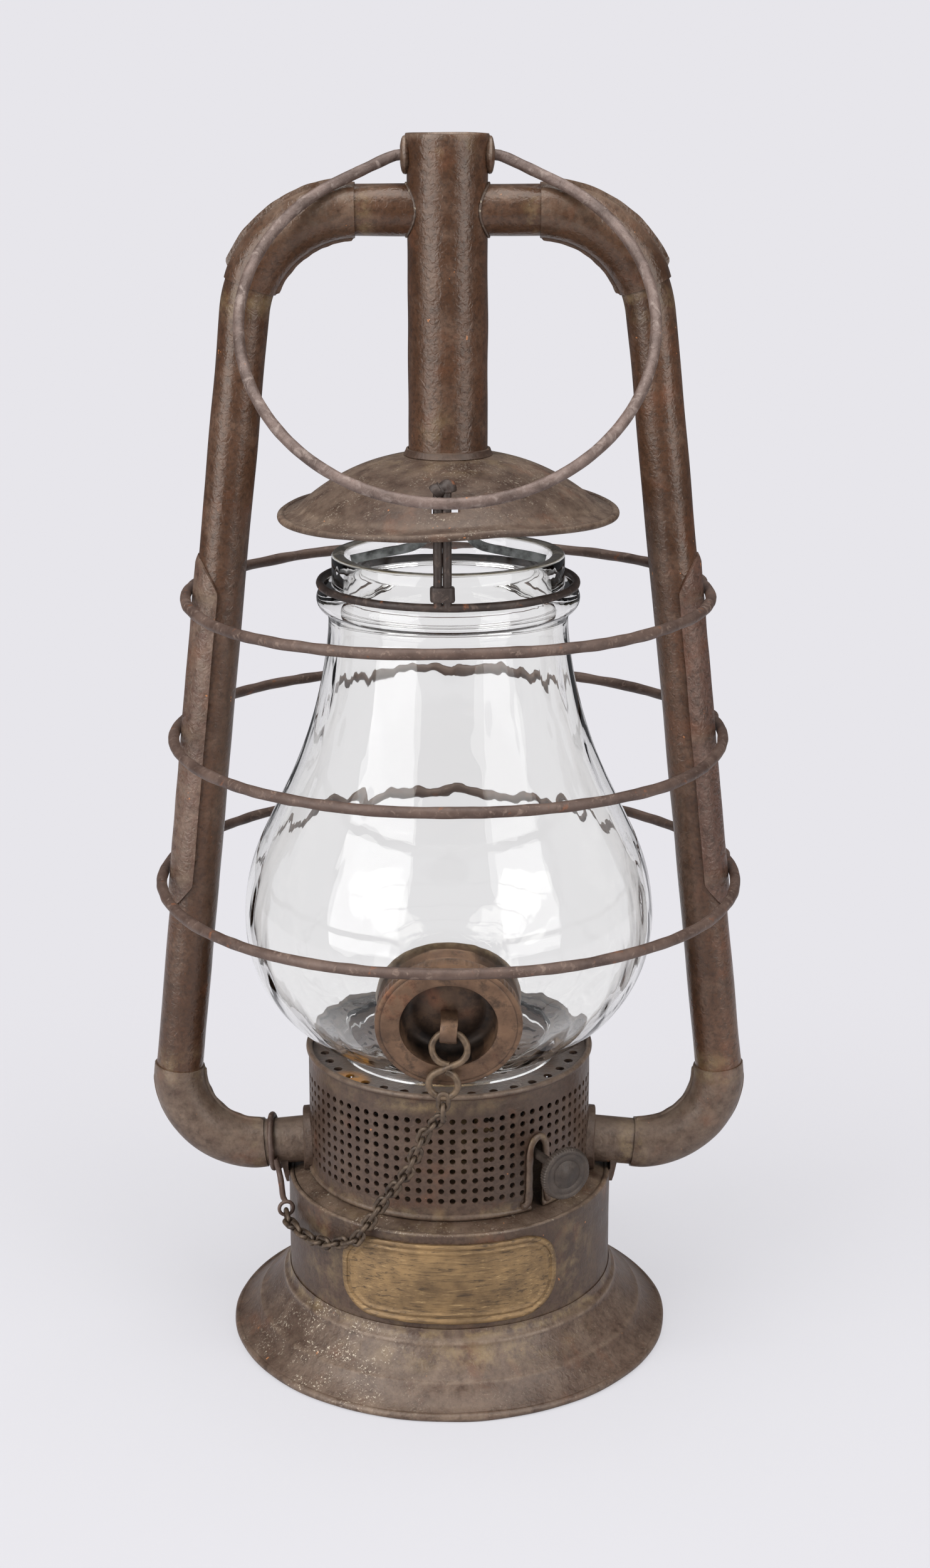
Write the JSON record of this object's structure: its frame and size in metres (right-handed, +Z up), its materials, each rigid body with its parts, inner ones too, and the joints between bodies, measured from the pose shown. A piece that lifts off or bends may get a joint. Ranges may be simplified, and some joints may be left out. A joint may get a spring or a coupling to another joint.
{
  "type": "kerosene storm lamp",
  "caption": "Kerosene storm lamp: flared foot, fount, perforated drum, pear-shaped glass in a wire guard, side tubes, centre chimney, capped lighting port and swinging bail.",
  "frame": {"origin": "on the table at the lamp's axis, in the middle of its bounding box", "axes": "+Z up along the lamp's axis, -Y towards the front with the port cap and the plate, +X to the side with the wick knob"},
  "size_m": [0.2028, 0.1928, 0.4],
  "materials": {
    "sheet": "aged dark brown sheet with rust and grime",
    "wire": "tarnished grey-brown wire",
    "plate_brass": "dull worn brass",
    "port_copper": "copper-brown tarnish",
    "burner_brass": "sooted brass",
    "knob_iron": "dark milled iron",
    "wick_cotton": "woven cotton",
    "glass": "clear, slightly green, wavy"
  },
  "bodies": {
    "frame": {"foot_ring": "sheet", "fount_shell": "sheet", "fount_top_plate": "sheet", "fount_bottom": "sheet", "front_plate": "plate_brass", "burner_collar": "burner_brass", "burner_body": "burner_brass", "wick_tube": "burner_brass", "burner_cone": "burner_brass", "drum": "sheet", "slot_frame": "sheet", "globe_plate": "sheet", "drum_disc_left": "sheet", "drum_disc_right": "sheet", "stub_saddle_left": "sheet", "stub_saddle_right": "sheet", "lower_stub_left": "sheet", "lower_stub_right": "sheet", "lower_elbow_left_front": "sheet", "lower_elbow_left_back": "sheet", "lower_elbow_right_front": "sheet", "lower_elbow_right_back": "sheet", "side_tube_left": "sheet", "side_tube_right": "sheet", "upper_elbow_left_front": "sheet", "upper_elbow_left_back": "sheet", "upper_elbow_right_front": "sheet", "upper_elbow_right_back": "sheet", "upper_stub_left": "sheet", "upper_stub_right": "sheet", "chimney_tube": "sheet", "chimney_lid": "sheet", "bail_ear_left": "sheet", "bail_ear_right": "sheet", "hood": "sheet", "hood_collar": "sheet", "globe_spring": "wire", "globe_glass": "glass", "port_collar": "port_copper", "cap_chain": "wire", "chain_anchor": "wire", "guard_strip_left": "sheet", "guard_strip_right": "sheet", "guard_ring_low": "wire", "guard_ring_middle": "wire", "guard_ring_top": "wire", "guard_ferrules": "wire"},
    "bail": {"bail": "wire"},
    "holder": {"holder_ring": "wire", "holder_sleeve": "wire", "holder_knob": "wire"},
    "cap": {"port_cap": "port_copper", "cap_strap": "port_copper", "cap_hook": "wire"},
    "wick_drive": {"wick_spindle": "knob_iron", "wick_wheels": "knob_iron", "wick_knob": "knob_iron"},
    "wick": {"wick": "wick_cotton"}
  },
  "joints": [
    {"name": "bail_swing", "type": "hinge", "parent": "frame", "child": "bail", "pos_m": [0, 0, 0.3935], "axis": [-1, 0, 0], "range_deg": [0, 281]},
    {"name": "holder_lift", "type": "slide", "parent": "frame", "child": "holder", "axis": [0, 0, 1], "range_m": [0, 0.018]},
    {"name": "cap_pull", "type": "slide", "parent": "frame", "child": "cap", "axis": [0, -0.9703, -0.2419], "range_m": [0, 0.016], "deforming": ["cap_chain"]},
    {"name": "knob_turn", "type": "hinge", "parent": "frame", "child": "wick_drive", "pos_m": [0.0052, 0.003, 0.0775], "axis": [0.5, -0.866, 0], "range_deg": [-85, 113]},
    {"name": "wick_feed", "type": "slide", "parent": "frame", "child": "wick", "axis": [0, 0, 1], "range_m": [-0.008, 0.006]}
  ],
  "couplings": [
    {"joint": "wick_feed", "follows": "knob_turn", "m_per_rad": -0.004}
  ]
}
